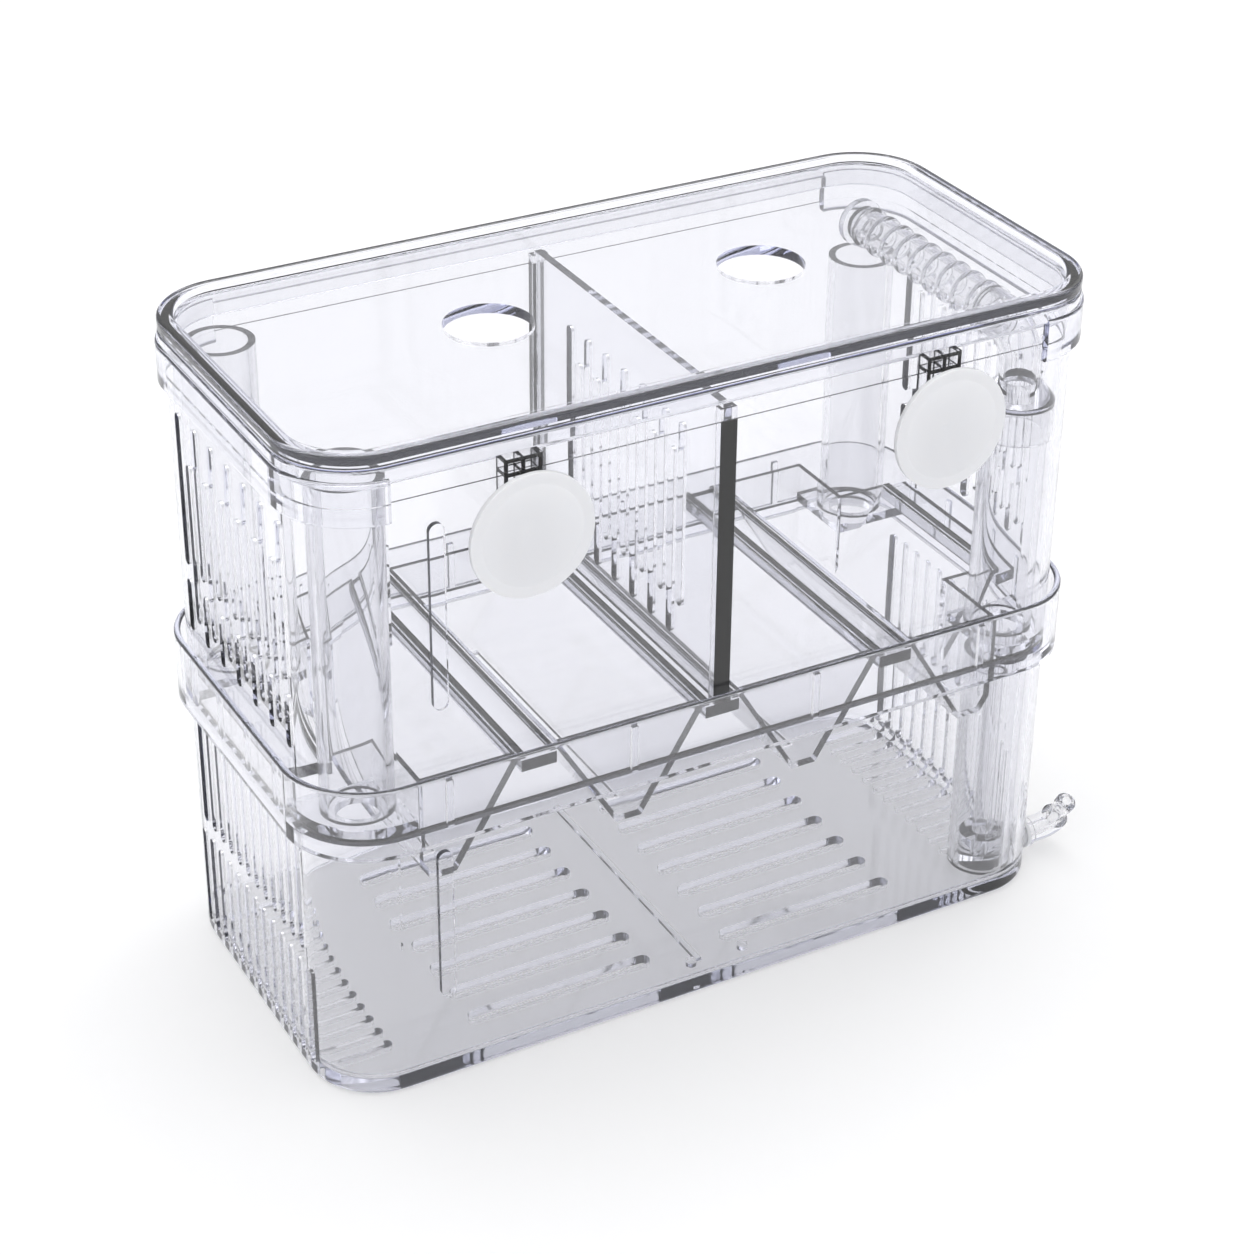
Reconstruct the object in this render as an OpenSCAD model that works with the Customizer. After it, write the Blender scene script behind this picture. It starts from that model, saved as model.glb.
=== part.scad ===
// Two-storey fish breeding box: a nursery tank that stands in the collar of a lower tank,
// with V-shaped fry funnels between them, a slotted divider, an air-lift riser with a
// rain bar, and two suction cups that hang the box on the aquarium glass.
// Origin: centre of the footprint on the underside. +X along the box towards the riser,
// -Y the long side with the suction cups, +Z up. Millimetres.

/* [Tanks] */
// Length of both tanks over their walls
tank_l = 197.3; // [170:0.1:260]
// Width of both tanks over their walls
tank_w = 94; // [84:0.1:130]
// Outside corner radius of the tanks
tank_r = 17; // [14:0.5:22]
// Wall thickness of both tanks
wall = 2; // [1.6:0.1:3]
// Floor thickness of the lower tank
floor_t = 2.5; // [2:0.1:4]
// Rounding of the edge round the underside
foot_r = 1.5; // [0.8:0.1:1.5]
// Height of the lower tank up to the ledge that carries the upper one
lower_h = 71; // [60:1:100]
// Height of the upper tank from that ledge to its rim
upper_h = 91; // [76:1:120]

/* [Joining collar] */
// Height of the collar above the ledge
collar_up = 14; // [8:0.5:20]
// Depth of the collar below the ledge
collar_down = 4; // [3:0.5:8]
// Wall thickness of the collar
collar_t = 1.6; // [1.2:0.1:2.5]
// Space between the upper tank and the collar wall
collar_gap = 1.35; // [0.8:0.05:2.5]

/* [Rim and lid] */
// Overhang of the rim and lid past the tank walls
rim_out = 1.35; // [0.8:0.05:3]
// Height of the rim band round the upper tank
rim_h = 3.2; // [2:0.1:6]
// Depth of the grip aprons under the rim at the two ends
apron_h = 9.5; // [5:0.5:14]
// Extra overhang of the grip aprons
apron_out = 0.7; // [0:0.1:1.5]
// Depth of the rebate inside the rim that the lid plugs into
rebate_h = 9.3; // [7:0.1:12]
// Wall left outside the rebate
rebate_wall = 1.5; // [1.1:0.1:1.9]
// Height of the lid's raised border
lid_h = 3.6; // [2.8:0.1:6]
// Width of the lid's raised border
lid_border = 4; // [3:0.1:8]
// Thickness of the lid's panel
panel_t = 2.4; // [1.5:0.1:3]
// Depth of the skirt that plugs into the upper tank
skirt_h = 5.3; // [3:0.1:7]
// Thickness of the skirt
skirt_t = 1.4; // [1:0.1:2]
// Diameter of the two feeding holes
feed_d = 20.6; // [12:0.1:34]
// Distance between the feeding holes
feed_pitch = 70; // [50:1:120]

/* [Divider] */
// Thickness of the divider
divider_t = 2; // [1.5:0.1:3]
// Depth of the guide rails that hold the divider
rail_d = 2.2; // [2:0.1:4]
// Thickness of each rail lip
rail_lip = 0.9; // [0.8:0.1:1.6]
// Spacing of the tall slots in the divider
divider_pitch = 8.8; // [7:0.1:14]

/* [Fry funnels] */
// Depth of a funnel under the deck
funnel_drop = 25; // [15:0.5:32]
// Wall thickness of a funnel
funnel_t = 1.2; // [1:0.1:1.5]
// Width of the slit that the fry fall through
slit_w = 3; // [2:0.1:5]
// Height of the deck bars above the upper tank's lower edge
deck_up = 10; // [7:0.5:14]
// Thickness of the deck bars
deck_t = 3; // [2:0.1:4]
// Width of the deck bars
deck_w = 8.8; // [7:0.1:12]

/* [Water slots] */
// Width of the slots in the walls and the divider
slot_w = 2.6; // [1.6:0.1:3.1]
// Spacing of the slots in the lower tank's ends
end_pitch = 5.25; // [4.3:0.05:7]
// Spacing of the slots in the upper tank's ends
grille_pitch = 4.7; // [3.9:0.05:7]
// Width of the slots in the floor
floor_slot_w = 3.6; // [2:0.1:5]
// Spacing of the slots in the floor
floor_pitch = 10.4; // [7:0.1:14]
// Length of the slots in the floor
floor_slot_l = 49; // [30:1:60]

/* [Air lift] */
// Outside diameter of the riser and corner tubes
tube_d = 16.4; // [12:0.1:16.8]
// Wall thickness of those tubes
tube_t = 1.7; // [1.2:0.1:2.2]
// Outside diameter of the rain bar
bar_d = 9.2; // [7:0.1:10]
// Bore of the rain bar
bar_bore = 6.6; // [4:0.1:6.8]
// Spacing of the outlets along the rain bar
outlet_pitch = 6.1; // [5:0.1:9]
// Outside diameter of the air nozzle's shank
nozzle_d = 4; // [3.6:0.1:5]
// Bore of the air nozzle
nozzle_bore = 2.4; // [1.5:0.1:2.6]

/* [Suction cups] */
// Diameter of a suction cup
cup_d = 29; // [22:0.5:36]
// Distance between the suction cups
cup_pitch = 104.6; // [80:0.1:130]
// Diameter of a cup's neck
neck_d = 3.6; // [3:0.1:5]

/* [Hidden] */
$fn = 64;

// Colours
clear = [0.90, 0.92, 0.97, 0.45];
clear_tube = [0.93, 0.94, 0.98, 0.5];
soft_white = [0.95, 0.95, 0.96];

// Clearances
slide_gap = 0.4;    // between pieces that lift out of each other
run_gap = 0.08;     // round a part that turns in its seat
cut = 1;            // how far a cutting shape runs past what it cuts

// Plan of the tanks
hx = tank_l / 2;
hy = tank_w / 2;
in_x = hx - wall;
in_y = hy - wall;
in_r = tank_r - wall;
fillet = 3.5;       // inside the lower tank, where the walls meet the floor

// The deck is shared out evenly between four funnels
side_ledge = 2.65;
funnel_pitch = (in_x - side_ledge) / 2;
funnel_half = (funnel_pitch - deck_w) / 2 - slide_gap;

// How many of a row fit, centred, in the given half-width: always an odd number
function odd_fit(half, pitch) = 1 + 2 * floor(half / pitch);
flat_y = hy - tank_r;
end_slots = odd_fit(flat_y + 1.5, end_pitch);
grille_cols = odd_fit(flat_y, grille_pitch);
floor_slots = odd_fit(flat_y + 2, floor_pitch);
divider_slots = floor(2 * (in_y - 8) / divider_pitch) - 1;

// Levels
rest_z = lower_h;
rim_z = rest_z + upper_h;
top_z = rim_z + lid_h;
deck_z = rest_z + deck_up;
collar_z = rest_z + collar_up;
skirt_z = rim_z - skirt_h;
tip_z = deck_z - funnel_drop;

// The tubes stand as near the corners as the sleeve that slips over one of them can
tube_r = tube_d / 2;
tube_bore = tube_r - tube_t;
sleeve_t = 0.9;
sleeve_r = tube_r + run_gap + sleeve_t;
tube_in = (in_r - sleeve_r - slide_gap) / sqrt(2);
tube_x = in_x - in_r + tube_in;
tube_y = in_y - in_r + tube_in;
shelf_t = 2.5;
shelf_z = rest_z + shelf_t;
shelf_margin = 0.5;
shelf_x = tube_x - tube_r - shelf_margin;
shelf_y = tube_y - tube_r - shelf_margin;
shelf_hole = tube_bore - 1.5;
tube_top = skirt_z - 1.2;
low_tube_top = tube_top - 13.9;

// Rain bar and its elbow
bar_r = bar_d / 2;
bar_z = rim_z - 12;
riser_top = bar_z - 17;
sleeve_low = 8;
sleeve_up = 7;
elbow_r = bar_r + 0.4;
bend_r = 7.6;
bend_z = bar_z - bend_r;
bend_y = -tube_y + bend_r;
spigot_r = bar_r - 0.8;
stub_l = 5;
spigot_l = stub_l - 0.6;
bar_start = bend_y + stub_l;
bar_end = tube_y;
rib_r = bar_r + 0.75;
rib_t = 1.6;
outlet_d = 2.2;
outlet_tilt = 35;
cap_r = rib_r + 0.55;
cap_t = 2;
cap_plug = 5;

// Air nozzle: a shank through the end wall, a thick elbow and a barb that leans to the front
nozzle_r = nozzle_d / 2;
grommet_r = nozzle_r + 1.1;
grommet_lip_r = nozzle_r + 2;
grommet_lip_t = 1;
nozzle_z = floor_t + nozzle_r + 0.5;
nozzle_reach = 9;
nozzle_body_r = nozzle_r + 1.5;
nozzle_bend = nozzle_body_r + 0.2;
nozzle_body_top = nozzle_bend + 0.8;
nozzle_turn = 31;
barb_r = nozzle_r + 0.3;
barb_knob = barb_r + 0.35;
barb_end = 13;
nozzle_collar_r = nozzle_body_r + 0.3;
nozzle_collar_t = 1.4;

// Air tube inside the lower riser
air_r = 2.4;
air_bore = 1.4;
air_foot_r = tube_bore - 0.9;
air_foot_h = 9;
air_top = rest_z - 11;
riser_mouth = rest_z - 5;
spout_r = tube_bore - slide_gap;
spout_low = rest_z - 9;

// Suction cups and brackets
cup_r = cup_d / 2;
neck_r = neck_d / 2;
head_r = neck_r + 1.3;
head_t = 1.5;
pocket_d = 2.2;
plate_t = 1.4;
bracket_side = 1;
bracket_w = 2 * (head_r + slide_gap + bracket_side);
bracket_top = rim_z - rim_h;
cup_z = bracket_top - 16.6;
bracket_low = cup_z - 9;
cup_gap = 0.5;
dish_depth = 4;
dish_t = 1.4;
cup_y = -hy - pocket_d - plate_t - cup_gap;
rim_face = 1;

// A rounded rectangle about the origin
module plan(half_x, half_y, r) {
    square([2 * (half_x - r), 2 * half_y], center = true);
    square([2 * half_x, 2 * (half_y - r)], center = true);
    for (sx = [-1, 1], sy = [-1, 1])
        translate([sx * (half_x - r), sy * (half_y - r)]) circle(r);
}

// The tank outline moved out by off, as a slab from z0 to z1
module slab(off, z0, z1) {
    translate([0, 0, z0])
        linear_extrude(z1 - z0) plan(hx + off, hy + off, tank_r + off);
}

// A band that follows the tank outline: its cross-section is drawn with x outward from
// the wall's outside face and y up. The long sides can be left out.
module band(long_sides = true) {
    for (turn = [0, 180]) {
        rotate([0, 0, turn]) {
            if (long_sides)
                translate([0, hy, 0]) along(hx - tank_r, 90) children();
            translate([hx, 0, 0]) along(hy - tank_r, 0) children();
            translate([hx - tank_r, hy - tank_r, 0])
                rotate_extrude(angle = 90) translate([tank_r, 0]) children();
            translate([-hx + tank_r, hy - tank_r, 0]) rotate([0, 0, 90])
                rotate_extrude(angle = 90) translate([tank_r, 0]) children();
        }
    }
}

// A straight length of a band, half long each way, facing the compass turn given
module along(half, turn) {
    rotate([0, 0, turn]) rotate([90, 0, 0])
        linear_extrude(2 * half, center = true) children();
}

// A cross-section with rounded corners, from a low corner to a high one
module soft_rect(x0, y0, x1, y1, r) {
    translate([x0 + r, y0]) square([x1 - x0 - 2 * r, y1 - y0]);
    translate([x0, y0 + r]) square([x1 - x0, y1 - y0 - 2 * r]);
    for (x = [x0 + r, x1 - r], y = [y0 + r, y1 - r]) translate([x, y]) circle(r);
}

// A slot with round ends, lying along Z, cut through along X
module wall_slot(y, z0, z1) {
    r = slot_w / 2;
    translate([0, y, 0]) {
        for (z = [z0 + r, z1 - r])
            translate([0, 0, z]) rotate([0, 90, 0]) cylinder(h = wall + 2 * cut, r = r, center = true);
        translate([-wall / 2 - cut, -r, z0 + r]) cube([wall + 2 * cut, slot_w, z1 - z0 - slot_w]);
    }
}

// A slot of width w with round ends, lying along X, cut through along Z
module floor_slot(x0, x1, y, w) {
    r = w / 2;
    for (x = [x0 + r, x1 - r])
        translate([x, y, -cut]) cylinder(h = floor_t + 2 * cut, r = r);
    translate([x0 + r, y - r, -cut]) cube([x1 - x0 - w, w, floor_t + 2 * cut]);
}

// Places its children at both ends of the box, facing outward
module both_ends() {
    for (turn = [0, 180]) rotate([0, 0, turn]) children();
}

// Lower tank

end_slot_top = lower_h * 0.43;
upper_row_low = end_slot_top + 4;
upper_row_high = lower_h - collar_down - 4;
end_toe = 18;
end_gap = 1;
rib_w = 1.6;
post_w = 3.6;
post_d = 1.2;
floor_slot_in = 10;

module lower_slots() {
    both_ends() {
        for (i = [0 : end_slots - 1]) {
            y = (i - (end_slots - 1) / 2) * end_pitch;
            translate([hx - wall / 2, 0, 0]) wall_slot(y, floor_t + end_gap, end_slot_top);
            floor_slot(in_x - end_toe, in_x - end_gap, y, slot_w);
            translate([in_x - fillet - cut, y - slot_w / 2, floor_t])
                cube([fillet + cut, slot_w, fillet + cut]);
        }
        for (i = [0 : end_slots - 2]) {
            y = (i - (end_slots - 2) / 2) * end_pitch;
            translate([hx - wall / 2, 0, 0]) wall_slot(y, upper_row_low, upper_row_high);
        }
        for (i = [0 : floor_slots - 1])
            floor_slot(floor_slot_in, floor_slot_in + floor_slot_l,
                       (i - (floor_slots - 1) / 2) * floor_pitch, floor_slot_w);
    }
}

// Cross-section of the lower tank's wall and collar, with a fillet down to the floor
module lower_section() {
    difference() {
        translate([-wall - fillet, floor_t - 0.5]) square([fillet + 0.5, fillet + 0.5]);
        translate([-wall - fillet, floor_t + fillet]) circle(fillet);
    }
    translate([-wall, foot_r]) square([wall, lower_h - foot_r]);
    translate([-wall, 0]) square([wall - foot_r, foot_r]);
    translate([-foot_r, foot_r]) circle(foot_r);
    soft_rect(-0.5, rest_z - collar_down, collar_gap + collar_t, rest_z, 0.5);
    soft_rect(collar_gap, rest_z - collar_down, collar_gap + collar_t, collar_z, 0.7);
}

// Small ribs inside the collar that centre the upper tank
module collar_ribs() {
    for (turn = [0, 180]) {
        rotate([0, 0, turn]) {
            for (y = [-24, -8, 8, 24])
                translate([hx + slide_gap, y - rib_w / 2, rest_z])
                    cube([collar_gap - slide_gap + 0.3, rib_w, collar_up - 2]);
            for (x = [-70, -24, 24, 70])
                translate([x - rib_w / 2, hy + slide_gap, rest_z])
                    cube([rib_w, collar_gap - slide_gap + 0.3, collar_up - 2]);
        }
    }
}

// A slim round-ended rib moulded on the outside of the long front wall
module wall_post(x, z0, z1) {
    r = post_w / 2;
    deep = post_d + 0.5;
    for (z = [z0 + r, z1 - r])
        translate([x, -hy + 0.5, z]) rotate([90, 0, 0]) cylinder(h = deep, r = r);
    translate([x - r, -hy - post_d, z0 + r]) cube([post_w, deep, z1 - z0 - post_w]);
}

post_x = -1.5 * funnel_pitch - 0.7;

// A low rib across the middle of the floor, with a round stud at its front end
module floor_rib() {
    half = in_y - 7;
    translate([-rib_w / 2, -half, floor_t - 0.5]) cube([rib_w, 2 * half, 1.3]);
    for (x = [-rib_w * 1.5, 12])
        translate([x, -half - 0.5, floor_t - 0.5]) cylinder(h = 1.9, r = 1.3);
}

module lower_box() {
    color(clear) difference() {
        union() {
            band() lower_section();
            slab(-wall + 0.5, 0, floor_t);
            collar_ribs();
            wall_post(post_x, lower_h * 0.34, lower_h - collar_down - 3);
            floor_rib();
        }
        lower_slots();
        translate([tube_x + tube_r, -tube_y, nozzle_z]) rotate([0, 90, 0])
            cylinder(h = hx - tube_x, r = grommet_r);
        translate([tube_x, -tube_y, floor_t]) cylinder(h = fillet + cut, r = tube_r);
    }
}

// Upper tank

grille_top = rim_z - 17.5;
grille_mid = rim_z - 56;
grille_low = rest_z + 17.5;
row_gap = 4;

module upper_slots() {
    both_ends() translate([hx - wall / 2, 0, 0]) {
        for (i = [0 : grille_cols - 1]) {
            y = (i - (grille_cols - 1) / 2) * grille_pitch;
            if (i % 2 == 0) {
                wall_slot(y, grille_mid, grille_top);
                wall_slot(y, grille_low, grille_mid - row_gap);
            } else {
                wall_slot(y, grille_low + row_gap, grille_top - 11);
            }
        }
    }
}

module upper_section() {
    translate([-wall, rest_z]) square([wall, upper_h - rebate_h]);
    translate([-rebate_wall, rim_z - rebate_h - cut]) square([rebate_wall, rebate_h + cut]);
    soft_rect(-1, rim_z - rim_h, rim_out, rim_z, 0.5);
}

module apron_section() {
    soft_rect(-1, rim_z - rim_h - apron_h, rim_out + apron_out, rim_z - rim_h + 1, 0.9);
}

// Bars across the tank that carry the funnels and the divider
module deck_bars() {
    for (i = [-1 : 1])
        translate([i * funnel_pitch - deck_w / 2, -in_y - 0.5, deck_z - deck_t])
            cube([deck_w, 2 * in_y + 1, deck_t]);
    both_ends()
        translate([2 * funnel_pitch - deck_w / 2, -shelf_y, deck_z - deck_t])
            cube([in_x + 0.5 - 2 * funnel_pitch + deck_w / 2, 2 * shelf_y, deck_t]);
}

// Corner shelves that the tubes stand on, each with a hole through it
module corner_shelves() {
    difference() {
        slab(-wall + 0.5, rest_z, shelf_z);
        translate([-shelf_x, -hy, rest_z - cut]) cube([2 * shelf_x, 2 * hy, shelf_t + 2 * cut]);
        translate([-hx, -shelf_y, rest_z - cut]) cube([2 * hx, 2 * shelf_y, shelf_t + 2 * cut]);
    }
}

module upper_box() {
    color(clear) difference() {
        union() {
            band() upper_section();
            band(long_sides = false) apron_section();
            deck_bars();
            corner_shelves();
            wall_post(post_x, rest_z + upper_h * 0.33, rest_z + upper_h * 0.83);
            translate([tube_x, -tube_y, spout_low]) cylinder(h = rest_z - spout_low + 1, r = spout_r);
        }
        upper_slots();
        for (sx = [-1, 1], sy = [-1, 1])
            translate([sx * tube_x, sy * tube_y, spout_low - cut])
                cylinder(h = shelf_z - spout_low + 2 * cut, r = shelf_hole);
    }
}

// Lid

module lid_section() {
    soft_rect(rim_out - lid_border, rim_z, rim_out, top_z, 1);
}

module skirt_section() {
    x1 = -rebate_wall - slide_gap;
    soft_rect(x1 - skirt_t, skirt_z, x1, rim_z + 1, 0.4);
}

module lid() {
    color(clear) difference() {
        union() {
            band() lid_section();
            band() skirt_section();
            slab(rim_out - lid_border + 0.5, rim_z, rim_z + panel_t);
        }
        for (s = [-1, 1])
            translate([s * feed_pitch / 2, 0, rim_z - cut]) cylinder(h = panel_t + 2 * cut, d = feed_d);
    }
}

// Divider and its rails

rail_w = divider_t + slide_gap + 2 * rail_lip;
rail_top = rim_z - rebate_h + 2.8;
divider_top = skirt_z - 0.5;
tall_low = deck_z + 16;
tall_high = divider_top - 12.2;
short_low = deck_z + 7;
short_high = tall_high - 8;

module divider_slot(y, z0, z1) {
    r = slot_w / 2;
    for (z = [z0 + r, z1 - r])
        translate([0, y, z]) rotate([0, 90, 0]) cylinder(h = divider_t + 2 * cut, r = r, center = true);
    translate([-divider_t / 2 - cut, y - r, z0 + r])
        cube([divider_t + 2 * cut, slot_w, z1 - z0 - slot_w]);
}

module divider() {
    half = in_y - 0.6 - slide_gap / 2;
    color(clear) difference() {
        translate([-divider_t / 2, -half, deck_z]) cube([divider_t, 2 * half, divider_top - deck_z]);
        for (i = [0 : divider_slots - 1]) {
            y = (i - (divider_slots - 1) / 2) * divider_pitch;
            divider_slot(y, tall_low, tall_high);
            if (i > 0) divider_slot(y - divider_pitch / 2, short_low, short_high);
        }
    }
}

// A guide rail: a channel on the wall, open towards the middle of the tank
module divider_rail() {
    base = 0.6;
    color(clear) translate([0, in_y - rail_d, deck_z]) linear_extrude(rail_top - deck_z)
        difference() {
            translate([-rail_w / 2, 0]) square([rail_w, rail_d]);
            translate([-(divider_t + slide_gap) / 2, -cut])
                square([divider_t + slide_gap, rail_d - base + cut]);
        }
}

// Fry funnels

lip_t = 1.2;
lip_w = 1.7;
funnel_end = in_y - 0.6;
notch_x = shelf_x - 0.6;
notch_y = shelf_y - 0.6;

// How far a funnel's side runs outward for each millimetre of height
flare = (funnel_half - slit_w / 2 - 1.5 * funnel_t) / funnel_drop;

// Outline of a funnel's cross-section between two levels, its sides moved in by inset
module vee(inset, low, high) {
    w0 = funnel_half - (deck_z - low) * flare - inset;
    w1 = funnel_half - (deck_z - high) * flare - inset;
    polygon([[-w0, low], [w0, low], [w1, high], [-w1, high]]);
}

// A V-shaped trough with closed ends, lips that rest on the deck bars and a slit along
// its foot. side is -1 or 1 when that side is notched round the corner tubes, else 0.
module funnel(centre, side) {
    sloped = funnel_t * sqrt(1 + pow(flare, 2));
    top = deck_z + lip_t;
    slit_half = funnel_end - 8;
    color(clear_tube) difference() {
        union() {
            difference() {
                translate([centre, 0, 0]) prism(funnel_end) vee(0, tip_z, top);
                difference() {
                    translate([centre, 0, 0])
                        prism(funnel_end - funnel_t) vee(sloped, tip_z + funnel_t, top + cut);
                    if (side != 0) notches(side, funnel_t, 0);
                }
            }
            for (s = [-1, 1])
                translate([centre + s * (funnel_half + lip_w / 2 - 0.3), 0, deck_z + lip_t / 2])
                    cube([lip_w + 0.6, 2 * funnel_end, lip_t], center = true);
        }
        if (side != 0) notches(side, 0, cut);
        translate([centre - slit_w / 2, -slit_half, tip_z - cut])
            cube([slit_w, 2 * slit_half, funnel_t + 2 * cut]);
    }
}

// Extrudes a cross-section drawn in X and Z along Y, half long each way
module prism(half) {
    rotate([90, 0, 0]) linear_extrude(2 * half, center = true) children();
}

// The corner blocks that are cut out of a funnel, grown by t on their inner sides
module notches(side, t, over) {
    for (s = [-1, 1]) {
        x0 = side > 0 ? notch_x - t : -hx;
        y0 = s > 0 ? notch_y - t : -hy;
        translate([x0, y0, tip_z - over]) cube([hx - notch_x + t, hy - notch_y + t, hx]);
    }
}

// Corner tubes and risers

module tube(x, y, z0, z1) {
    color(clear_tube) translate([x, y, z0]) difference() {
        cylinder(h = z1 - z0, r = tube_r);
        translate([0, 0, -cut]) cylinder(h = z1 - z0 + 2 * cut, r = tube_bore);
    }
}

// Stands over the air tube, with a notch in its foot for the nozzle's shank
module lower_riser() {
    r = nozzle_r + slide_gap;
    difference() {
        tube(tube_x, -tube_y, floor_t, riser_mouth);
        translate([tube_x + air_foot_r - cut, -tube_y, nozzle_z]) {
            rotate([0, 90, 0]) cylinder(h = tube_r, r = r);
            translate([0, -r, -nozzle_z]) cube([tube_r, 2 * r, nozzle_z]);
        }
    }
}

module air_tube() {
    color(clear_tube) translate([tube_x, -tube_y, floor_t]) difference() {
        union() {
            cylinder(h = air_foot_h, r = air_foot_r);
            cylinder(h = air_top - floor_t, r = air_r);
        }
        translate([0, 0, nozzle_z - floor_t]) {
            cylinder(h = air_top, r = air_bore);
            rotate([0, 90, 0]) cylinder(h = air_foot_r + cut, r = air_bore);
            translate([air_foot_r - 2.5, 0, 0]) rotate([0, 90, 0])
                cylinder(h = 2.5 + cut, r = nozzle_r + run_gap);
        }
    }
}

// Air nozzle

module nozzle_grommet() {
    color(soft_white) translate([0, -tube_y, nozzle_z]) rotate([0, 90, 0]) difference() {
        union() {
            translate([0, 0, in_x]) cylinder(h = wall, r = grommet_r);
            translate([0, 0, hx]) cylinder(h = grommet_lip_t, r = grommet_lip_r);
        }
        translate([0, 0, in_x - cut]) cylinder(h = wall + grommet_lip_t + 2 * cut, r = nozzle_r + run_gap);
    }
}

module air_nozzle() {
    start = tube_x + air_foot_r - 2.2;
    outside = hx + grommet_lip_t;
    color(clear_tube) translate([0, -tube_y, nozzle_z]) rotate([nozzle_turn, 0, 0]) difference() {
        union() {
            translate([start, 0, 0]) rotate([0, 90, 0])
                cylinder(h = outside - start + cut, r = nozzle_r);
            translate([outside, 0, 0]) rotate([0, 90, 0])
                cylinder(h = nozzle_collar_t, r = nozzle_collar_r);
            nozzle_run(outside, nozzle_body_top, nozzle_body_r);
            translate([hx + nozzle_reach, 0, nozzle_bend])
                cylinder(h = barb_end - nozzle_bend - 2, r = barb_r);
            translate([hx + nozzle_reach, 0, barb_end]) rotate_extrude() barb_section();
        }
        nozzle_run(start - cut, barb_end + cut, nozzle_bore / 2);
    }
}

// Half section of the barb's swollen, rounded tip, with y = 0 at its very end
module barb_section() {
    round = 1;
    polygon([[0, -3.4], [barb_r, -3.4], [barb_knob, -2.4], [barb_knob, -round], [0, -round]]);
    translate([0, -2]) square([barb_knob - round, 2]);
    translate([barb_knob - round, -round]) circle(round);
}

// The nozzle's run at one radius: out from start, round the bend and up to the height given
module nozzle_run(start, high, r) {
    bend_x = hx + nozzle_reach - nozzle_bend;
    translate([start, 0, 0]) rotate([0, 90, 0]) cylinder(h = bend_x - start, r = r);
    translate([bend_x, 0, nozzle_bend]) rotate([90, 0, 0]) rotate([0, 0, -90])
        rotate_extrude(angle = 90) translate([nozzle_bend, 0]) circle(r);
    translate([bend_x + nozzle_bend, 0, nozzle_bend]) cylinder(h = high - nozzle_bend, r = r);
}

// Rain bar

module elbow_run(r, low, high) {
    translate([0, 0, low]) cylinder(h = bend_z - low, r = r);
    translate([0, bend_r, bend_z]) rotate([0, -90, 0]) rotate([0, 0, -90])
        rotate_extrude(angle = 90) translate([bend_r, 0]) circle(r);
    translate([0, bend_r, bar_z]) rotate([-90, 0, 0]) cylinder(h = high, r = r);
}

module rain_elbow() {
    color(clear_tube) translate([tube_x, -tube_y, 0]) difference() {
        union() {
            translate([0, 0, riser_top - sleeve_low]) cylinder(h = sleeve_low + 1.5, r = sleeve_r);
            translate([0, 0, riser_top + 1.5]) cylinder(h = sleeve_up - 2.5, r1 = sleeve_r, r2 = elbow_r);
            elbow_run(elbow_r, riser_top, stub_l);
            translate([0, bend_r + stub_l - rib_t, bar_z]) rotate([-90, 0, 0])
                cylinder(h = rib_t, r = rib_r);
        }
        translate([0, 0, riser_top - sleeve_low - cut]) cylinder(h = sleeve_low + cut, r = tube_r + run_gap);
        elbow_run(spigot_r + run_gap, riser_top - cut, stub_l + cut);
    }
}

module rain_bar() {
    length = bar_end - bar_start;
    bar_outlets = floor((length - rib_t) / outlet_pitch);
    first_rib = (length - bar_outlets * outlet_pitch) / 2;
    color(clear_tube) translate([tube_x, bar_start, bar_z]) rotate([-90, 0, 0]) difference() {
        union() {
            translate([0, 0, -spigot_l]) cylinder(h = length + spigot_l, r = spigot_r);
            cylinder(h = length, r = bar_r);
            for (i = [0 : bar_outlets])
                translate([0, 0, first_rib + i * outlet_pitch]) rib_ring();
        }
        translate([0, 0, -spigot_l - cut])
            cylinder(h = length + spigot_l + 2 * cut, r = bar_bore / 2);
        for (i = [0 : bar_outlets - 1])
            translate([0, 0, first_rib + (i + 0.5) * outlet_pitch]) rotate([0, 0, -outlet_tilt])
                rotate([0, -90, 0]) cylinder(h = rib_r + cut, d = outlet_d);
    }
}

module rib_ring() {
    rotate_extrude() {
        translate([spigot_r, -rib_t / 2]) square([rib_r - spigot_r - rib_t / 2, rib_t]);
        translate([rib_r - rib_t / 2, 0]) circle(rib_t / 2);
    }
}

module rain_bar_cap() {
    color(clear_tube) translate([tube_x, bar_end, bar_z]) rotate([-90, 0, 0]) difference() {
        union() {
            cylinder(h = cap_t, r = cap_r);
            translate([0, 0, -cap_plug]) cylinder(h = cap_plug, r = bar_bore / 2);
        }
        translate([0, 0, -cap_plug - cut]) cylinder(h = cap_plug + cut, r = bar_bore / 2 - 1);
    }
}

// Suction cups and their brackets

// A channel on the front wall, open at its foot: the cup's head slides up behind its
// plate and the neck up the plate's slot. Over it the bracket is an open frame of ribs.
module cup_bracket(x) {
    depth = pocket_d + plate_t;
    cell_w = (bracket_w - 3 * bracket_side) / 2;
    cell_low = cup_z + head_r + slide_gap + bracket_side;
    cell_high = bracket_top - bracket_side;
    bar_low = cell_high - 2.2;
    color(clear_tube) translate([x, -hy, 0]) difference() {
        translate([-bracket_w / 2, -depth, bracket_low])
            cube([bracket_w, depth, bracket_top - bracket_low]);
        keyhole(neck_r + slide_gap / 2, depth + cut, cut);
        keyhole(head_r + slide_gap, pocket_d, cut);
        for (x0 = [-cell_w - bracket_side / 2, bracket_side / 2]) {
            translate([x0, -depth - cut, cell_low])
                cube([cell_w, depth + 2 * cut, bar_low - bracket_side - cell_low]);
            translate([x0, -depth - cut, bar_low])
                cube([cell_w, depth + 2 * cut, cell_high - bar_low]);
        }
    }
}

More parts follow.
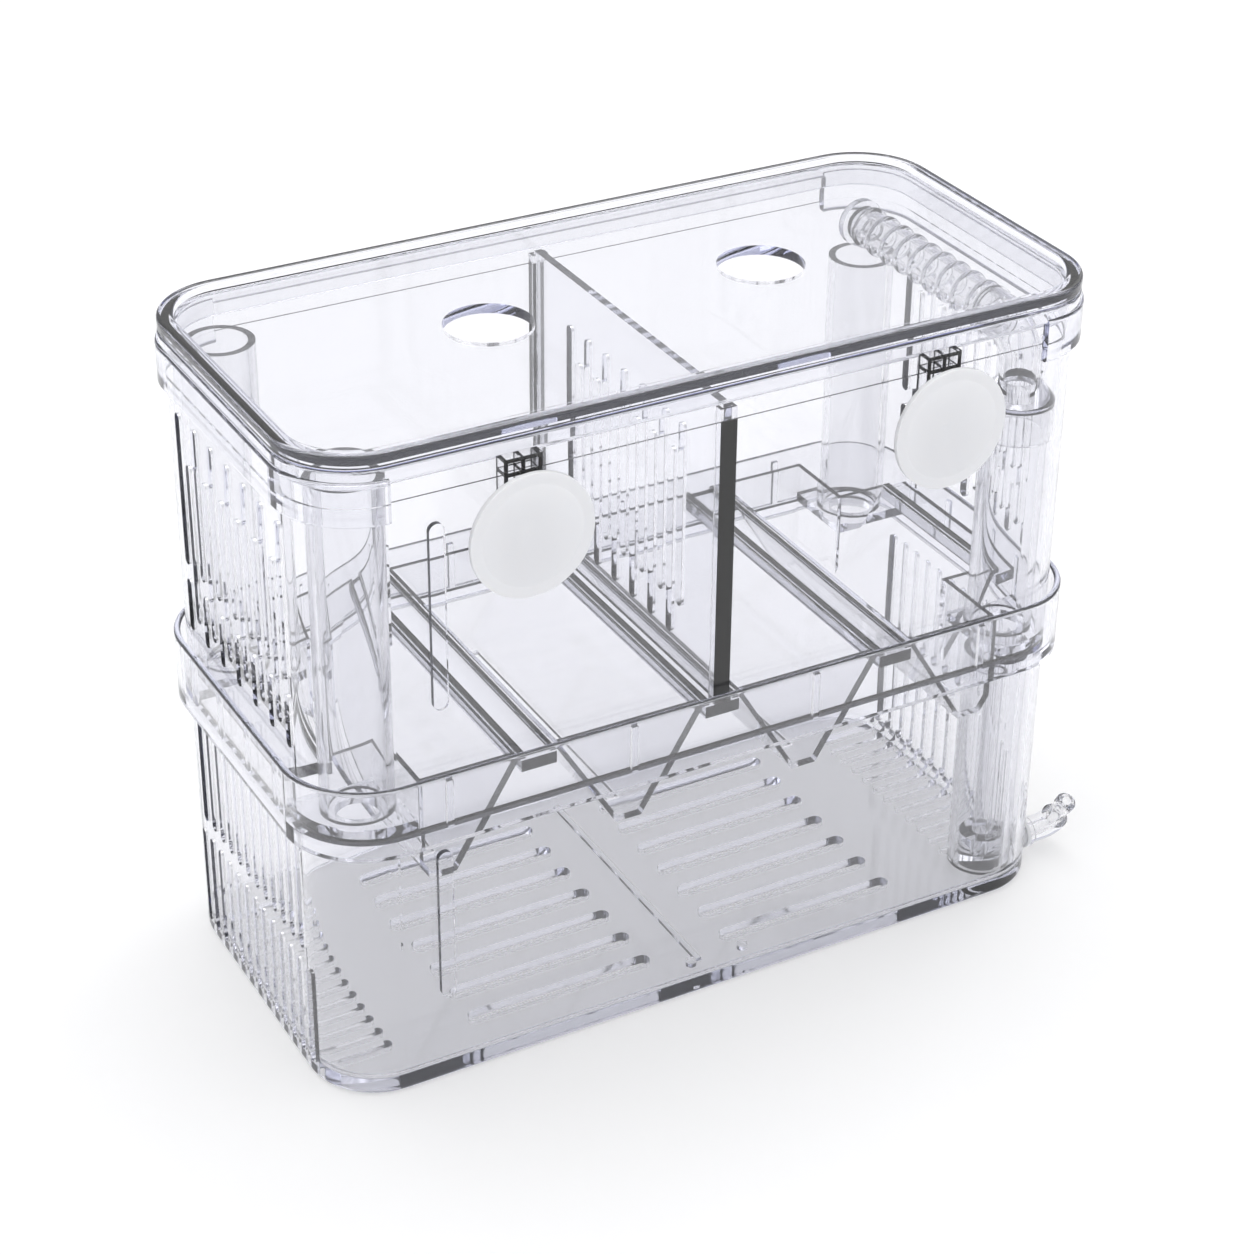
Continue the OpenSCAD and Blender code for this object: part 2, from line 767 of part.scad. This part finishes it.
// A slot from below up to the cup's axis, of radius r, from the wall out to depth d
module keyhole(r, d, over) {
    translate([0, over, cup_z]) rotate([90, 0, 0]) cylinder(h = d + over, r = r);
    translate([-r, -d, bracket_low - cut]) cube([2 * r, d + over, cup_z - bracket_low + cut]);
}

// A soft dish with a neck and a round head, turned about Y
module suction_cup(x) {
    dish_r = (pow(cup_r, 2) + pow(dish_depth, 2)) / (2 * dish_depth);
    head_low = pocket_d - 0.4 - head_t;
    stem = -hy - head_low - cup_y;
    color(soft_white) translate([x, cup_y, cup_z]) rotate([90, 0, 0]) rotate_extrude($fn = 96) {
        intersection() {
            difference() {
                translate([0, dish_r]) circle(dish_r);
                translate([0, dish_r + dish_t]) circle(dish_r);
            }
            square([cup_r, dish_depth]);
        }
        translate([cup_r - rim_face - 0.8, dish_depth - 1.2]) square([rim_face + 0.8, 1.2]);
        translate([0, -stem]) square([neck_r, stem + dish_t]);
        translate([0, -stem]) square([head_r, head_t]);
    }
}

lower_box();
upper_box();
lid();
divider();
rotate([0, 0, 180]) divider_rail();  // divider_rail_front
divider_rail();  // divider_rail_back
funnel(-1.5 * funnel_pitch, -1);  // funnel_far_left
funnel(-0.5 * funnel_pitch, 0);  // funnel_left
funnel(0.5 * funnel_pitch, 0);  // funnel_right
funnel(1.5 * funnel_pitch, 1);  // funnel_far_right
tube(-tube_x, -tube_y, shelf_z, tube_top);  // corner_tube_front_left
tube(-tube_x, tube_y, shelf_z, tube_top);  // corner_tube_back_left
tube(tube_x, tube_y, shelf_z, low_tube_top);  // corner_tube_back_right
lower_riser();
tube(tube_x, -tube_y, shelf_z, riser_top);  // upper_riser
air_tube();
nozzle_grommet();
air_nozzle();
rain_elbow();
rain_bar();
rain_bar_cap();
cup_bracket(-cup_pitch / 2);  // cup_bracket_left
cup_bracket(cup_pitch / 2);  // cup_bracket_right
suction_cup(-cup_pitch / 2);  // suction_cup_left
suction_cup(cup_pitch / 2);  // suction_cup_right
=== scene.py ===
"""Looks for the two-storey fish breeding box: clear moulded plastic, soft white cups."""
import math

import bpy
from mathutils import Matrix, Vector

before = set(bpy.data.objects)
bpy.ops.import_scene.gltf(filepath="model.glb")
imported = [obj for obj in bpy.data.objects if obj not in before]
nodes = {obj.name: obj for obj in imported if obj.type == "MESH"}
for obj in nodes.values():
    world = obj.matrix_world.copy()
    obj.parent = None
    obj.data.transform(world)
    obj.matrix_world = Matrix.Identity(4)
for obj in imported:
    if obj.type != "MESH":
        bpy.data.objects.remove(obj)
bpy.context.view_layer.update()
scene = bpy.context.scene
MM = 0.001


# Shader maths


class Wire:
    """An output of a node, which takes part in an expression."""

    def __init__(self, paint, socket):
        self.paint = paint
        self.socket = socket

    def __add__(self, other):
        return self.paint.maths("ADD", self, other)

    def __radd__(self, other):
        return self.paint.maths("ADD", other, self)

    def __sub__(self, other):
        return self.paint.maths("SUBTRACT", self, other)

    def __rsub__(self, other):
        return self.paint.maths("SUBTRACT", other, self)

    def __mul__(self, other):
        return self.paint.maths("MULTIPLY", self, other)

    def __rmul__(self, other):
        return self.paint.maths("MULTIPLY", other, self)

    def between(self, low, high):
        """0 below low, 1 above high, smooth in the middle."""
        return self.paint.node(
            "ShaderNodeMapRange", {"interpolation_type": "SMOOTHSTEP"},
            {"From Min": low, "From Max": high}, Value=self,
        ).out("Result")


class NodeHandle:
    """A node whose outputs come back as wires."""

    def __init__(self, paint, node):
        self.paint = paint
        self.raw = node

    def out(self, name=0):
        return Wire(self.paint, self.raw.outputs[name])


class Paint:
    """One node tree, with a method that adds any node."""

    MIX_SHARE = 0
    MIX_FIRST_COLOUR = 6
    MIX_SECOND_COLOUR = 7
    MIX_COLOUR_OUT = 2

    def __init__(self, tree):
        self.tree = tree

    def node(self, kind, settings=None, sockets=None, **inputs):
        """Settings come first. Sockets are for places, and for names with a space."""
        raw = self.tree.nodes.new(kind)
        for name, value in (settings or {}).items():
            setattr(raw, name, value)
        for name, value in {**(sockets or {}), **inputs}.items():
            self.feed(raw.inputs[name], value)
        return NodeHandle(self, raw)

    def feed(self, socket, value):
        if isinstance(value, Wire):
            self.tree.links.new(value.socket, socket)
        else:
            socket.default_value = value

    def maths(self, operation, *values):
        return self.node("ShaderNodeMath", {"operation": operation}, dict(enumerate(values))).out()

    def mix(self, share, first, second):
        return self.node("ShaderNodeMix", {"data_type": "RGBA"}, {
            self.MIX_SHARE: share,
            self.MIX_FIRST_COLOUR: first,
            self.MIX_SECOND_COLOUR: second,
        }).out(self.MIX_COLOUR_OUT)

    def object_place(self):
        """The surface point in the piece's own metres."""
        return self.node("ShaderNodeTexCoord").out("Object")

    def noise(self, place, scale, detail, roughness):
        """Cloudy noise from 0 to 1, whose scale is in waves to a metre."""
        return self.node(
            "ShaderNodeTexNoise", Vector=place, Scale=scale, Detail=detail, Roughness=roughness
        ).out("Fac")


def blank_material(name):
    made = bpy.data.materials.new(name)
    made.use_nodes = True
    made.node_tree.nodes.clear()
    return made, Paint(made.node_tree)


# Materials

# What long ways through the plastic keep of the light
VIOLET = (0.42, 0.48, 0.97)
# The share of light that goes through the plastic's skin: the rest is a faint haze
CLEARNESS = 0.965
PLASTIC_IOR = 1.46
SILICONE_IOR = 1.42
RIPPLE_DEPTH = 0.6 * MM
SILICONE_GRAIN_DEPTH = 0.1 * MM
# How much rougher a smudge is than the clean plastic
SMUDGE_GAIN = 1.6
SMUDGE_START, SMUDGE_FULL = 0.52, 0.74
# The fine grain of the lower tank's floor fades out just above the floor's surface
FROST_TOP = 2.7 * MM
FROST_FADE = 0.8 * MM
FROST_ROUGHNESS = 0.03


def clear_plastic(name, tint, roughness, ripple, density, frost_below=None):
    """Clear moulded plastic: it refracts, its mould ripple is slight, and long ways through
    it, as along an edge, turn blue-violet. Under frost_below it is a finely grained floor."""
    made, paint = blank_material(name)
    place = paint.object_place()
    waves = paint.noise(place, scale=38.0, detail=1.5, roughness=0.4)
    bump = paint.node("ShaderNodeBump", Height=waves, Strength=ripple, Distance=RIPPLE_DEPTH).out()
    smudge = paint.noise(place, scale=95.0, detail=3.0, roughness=0.55)
    finish = roughness + roughness * SMUDGE_GAIN * smudge.between(SMUDGE_START, SMUDGE_FULL)
    if frost_below is not None:
        height = paint.node("ShaderNodeSeparateXYZ", Vector=place).out("Z")
        finish = finish + FROST_ROUGHNESS * (1 - height.between(frost_below - FROST_FADE, frost_below))
    body = paint.node(
        "ShaderNodeBsdfPrincipled", {},
        {"Base Color": (*tint, 1), "Transmission Weight": CLEARNESS},
        Roughness=finish, Normal=bump, IOR=PLASTIC_IOR,
    )
    deep = paint.node("ShaderNodeVolumeAbsorption", Color=(*VIOLET, 1), Density=density)
    paint.node("ShaderNodeOutputMaterial", Surface=body.out(), Volume=deep.out())
    return made


def soft_white(name, colour, roughness):
    """Soft white silicone: waxy, a little see-through at its thin rim."""
    made, paint = blank_material(name)
    place = paint.object_place()
    cloud = paint.noise(place, scale=120.0, detail=2.0, roughness=0.5)
    dimmer = [channel * 0.975 for channel in colour]
    shade = paint.mix(cloud, (*dimmer, 1), (*colour, 1))
    grain = paint.noise(place, scale=900.0, detail=2.0, roughness=0.6)
    bump = paint.node(
        "ShaderNodeBump", Height=grain, Strength=0.12, Distance=SILICONE_GRAIN_DEPTH
    ).out()
    body = paint.node(
        "ShaderNodeBsdfPrincipled", {},
        {
            "Base Color": shade,
            "Subsurface Weight": 0.6,
            "Subsurface Radius": (1.0, 0.95, 0.9),
            "Subsurface Scale": 4 * MM,
        },
        Roughness=roughness + 0.12 * cloud, Normal=bump, IOR=SILICONE_IOR,
    )
    paint.node("ShaderNodeOutputMaterial", Surface=body.out())
    return made


tank_plastic = clear_plastic(
    "clear_tank_plastic", tint=(0.99, 0.99, 0.998), roughness=0.012, ripple=0.10, density=12.0,
    frost_below=FROST_TOP,
)
lid_plastic = clear_plastic(
    "clear_lid_plastic", tint=(0.99, 0.99, 0.998), roughness=0.008, ripple=0.05, density=12.0
)
tube_plastic = clear_plastic(
    "clear_tube_plastic", tint=(0.99, 0.99, 0.996), roughness=0.015, ripple=0.08, density=6.0
)
fitting_plastic = clear_plastic(
    "clear_fitting_plastic", tint=(0.99, 0.99, 0.996), roughness=0.02, ripple=0.08, density=6.0
)
seal_rubber = soft_white("milky_seal", colour=(0.90, 0.91, 0.93), roughness=0.4)
cup_silicone = soft_white("white_cup_silicone", colour=(0.94, 0.94, 0.95), roughness=0.3)

FINISHES = (
    (tank_plastic, ("lower_box", "upper_box", "divider_rail_front", "divider_rail_back")),
    (lid_plastic, ("lid", "divider")),
    (tube_plastic, (
        "corner_tube_front_left", "corner_tube_back_left", "corner_tube_back_right",
        "lower_riser", "upper_riser", "air_tube", "cup_bracket_left", "cup_bracket_right",
    )),
    (fitting_plastic, (
        "funnel_far_left", "funnel_left", "funnel_right", "funnel_far_right",
        "air_nozzle", "rain_elbow", "rain_bar", "rain_bar_cap",
    )),
    (seal_rubber, ("nozzle_grommet",)),
    (cup_silicone, ("suction_cup_left", "suction_cup_right")),
)
for finish, names in FINISHES:
    for name in names:
        piece = nodes[name]
        piece.data.materials.clear()
        piece.data.materials.append(finish)


# Floor, light and camera

FLOOR_HALF_SIDE = 6.0
FLOOR_DROP = 0.3 * MM


def pale_floor():
    """A wide pale floor, just under the box so that the two don't fight over one plane."""
    side = FLOOR_HALF_SIDE
    corners = [(-side, -side, 0), (side, -side, 0), (side, side, 0), (-side, side, 0)]
    mesh = bpy.data.meshes.new("floor")
    mesh.from_pydata([Vector(corner) for corner in corners], [], [(0, 1, 2, 3)])
    floor = bpy.data.objects.new("floor", mesh)
    floor.location.z = -FLOOR_DROP
    scene.collection.objects.link(floor)
    made, paint = blank_material("pale_floor")
    body = paint.node(
        "ShaderNodeBsdfPrincipled", {},
        {
            "Base Color": (0.64, 0.64, 0.645, 1),
            "Specular IOR Level": 0.1,
            "Emission Color": (1.0, 1.0, 1.0, 1),
            "Emission Strength": 0.40,
        },
        Roughness=0.7,
    )
    paint.node("ShaderNodeOutputMaterial", Surface=body.out())
    mesh.materials.append(made)


def softbox(name, place, aim, width, height, watts):
    light = bpy.data.lights.new(name, "AREA")
    light.shape = "RECTANGLE"
    light.size = width
    light.size_y = height
    light.energy = watts
    holder = bpy.data.objects.new(name, light)
    holder.location = place
    holder.rotation_mode = "QUATERNION"
    holder.rotation_quaternion = (Vector(aim) - Vector(place)).to_track_quat("-Z", "Y")
    scene.collection.objects.link(holder)


def studio():
    """A white sky that turns faintly violet at the horizon, and three weak softboxes."""
    world = bpy.data.worlds.new("studio")
    world.use_nodes = True
    world.node_tree.nodes.clear()
    paint = Paint(world.node_tree)
    place = paint.node("ShaderNodeTexCoord").out("Generated")
    up = paint.node("ShaderNodeSeparateXYZ", Vector=place).out("Z")
    shade = paint.mix(up.between(0.0, 0.55), (0.74, 0.75, 0.88, 1), (1.0, 1.0, 1.0, 1))
    sky = paint.node("ShaderNodeBackground", Color=shade, Strength=0.78)
    paint.node("ShaderNodeOutputWorld", Surface=sky.out())
    scene.world = world
    softbox("overhead", (0.1, 0.25, 1.5), aim=(0, 0, 0.05), width=1.6, height=1.2, watts=9)
    softbox("left_side", (-1.3, -0.3, 0.7), aim=(0, 0, 0.08), width=0.8, height=0.9, watts=2)
    softbox("right_side", (1.2, 0.5, 0.8), aim=(0, 0, 0.08), width=0.7, height=0.9, watts=2)


def camera():
    """The photograph's own viewpoint, as turns round the box's middle and a distance."""
    turn = math.radians(-29.09)
    tilt = math.radians(30.78)
    roll = math.radians(0.61)
    reach = 0.70606
    aside = -0.00061
    above = 0.00534
    middle = Vector((0, 0, 0.0828))
    back = Vector((
        math.sin(turn) * math.cos(tilt), -math.cos(turn) * math.cos(tilt), math.sin(tilt)
    ))
    level = Vector((math.cos(turn), math.sin(turn), 0))
    upright = back.cross(level)
    right = level * math.cos(roll) + upright * math.sin(roll)
    up = upright * math.cos(roll) - level * math.sin(roll)
    lens = bpy.data.cameras.new("camera")
    lens.sensor_width = 36
    lens.lens = 84.61
    lens.clip_start = 0.01
    lens.clip_end = 30
    holder = bpy.data.objects.new("camera", lens)
    place = middle - right * aside - up * above + back * reach
    holder.matrix_world = Matrix((
        (right.x, up.x, back.x, place.x),
        (right.y, up.y, back.y, place.y),
        (right.z, up.z, back.z, place.z),
        (0, 0, 0, 1),
    ))
    scene.collection.objects.link(holder)
    scene.camera = holder


def light_paths():
    """Enough bounces to look through both walls, the divider and the tubes behind it."""
    scene.cycles.max_bounces = 20
    scene.cycles.transmission_bounces = 20
    scene.cycles.glossy_bounces = 6
    scene.cycles.diffuse_bounces = 4
    scene.cycles.transparent_max_bounces = 32
    scene.cycles.adaptive_threshold = 0.03
    scene.cycles.sample_clamp_indirect = 6.0


pale_floor()
studio()
camera()
light_paths()
scene.view_settings.view_transform = "Standard"
scene.view_settings.look = "None"
